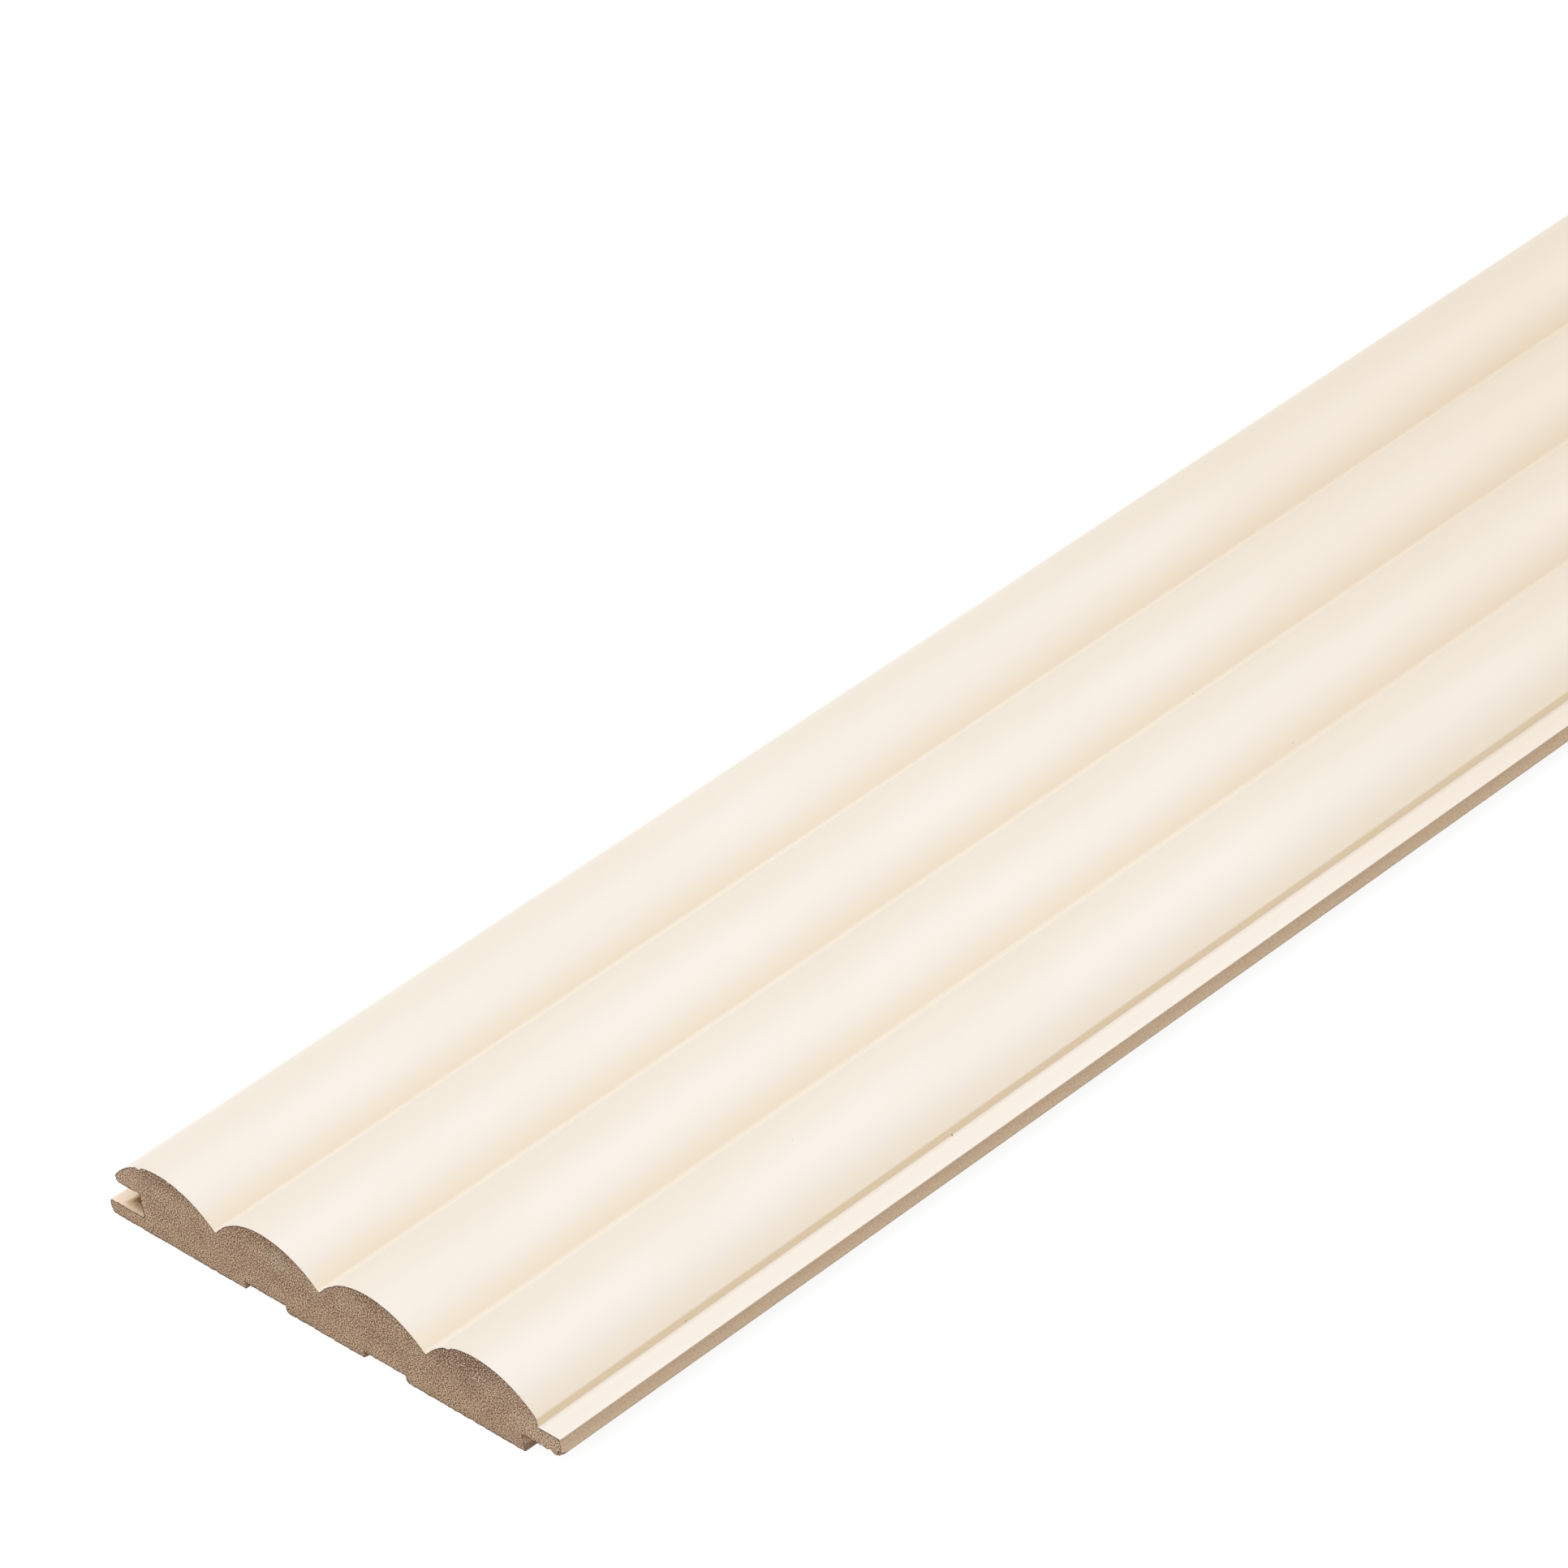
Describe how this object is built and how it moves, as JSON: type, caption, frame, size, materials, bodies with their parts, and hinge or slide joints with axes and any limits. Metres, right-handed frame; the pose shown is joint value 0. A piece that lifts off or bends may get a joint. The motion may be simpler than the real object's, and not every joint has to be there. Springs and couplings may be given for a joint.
{
  "type": "mdf wall panel",
  "caption": "Long tongue-and-groove wall panel with a face of convex reeds, a flat back with shallow relief grooves, and sawn ends.",
  "frame": {"origin": "on the flat back, under the middle of the panel's width and length", "axes": "+X across the panel towards the tongue, +Y along its length, +Z out of the back towards the reeded face"},
  "size_m": [0.12, 2.7, 0.016],
  "materials": {
    "painted_mdf": "medium density fibreboard with a cream satin paint on its face, tongue and groove, and bare brown board at the sawn ends and the back"
  },
  "bodies": {
    "root": {"wall_panel": "painted_mdf"}
  },
  "joints": []
}
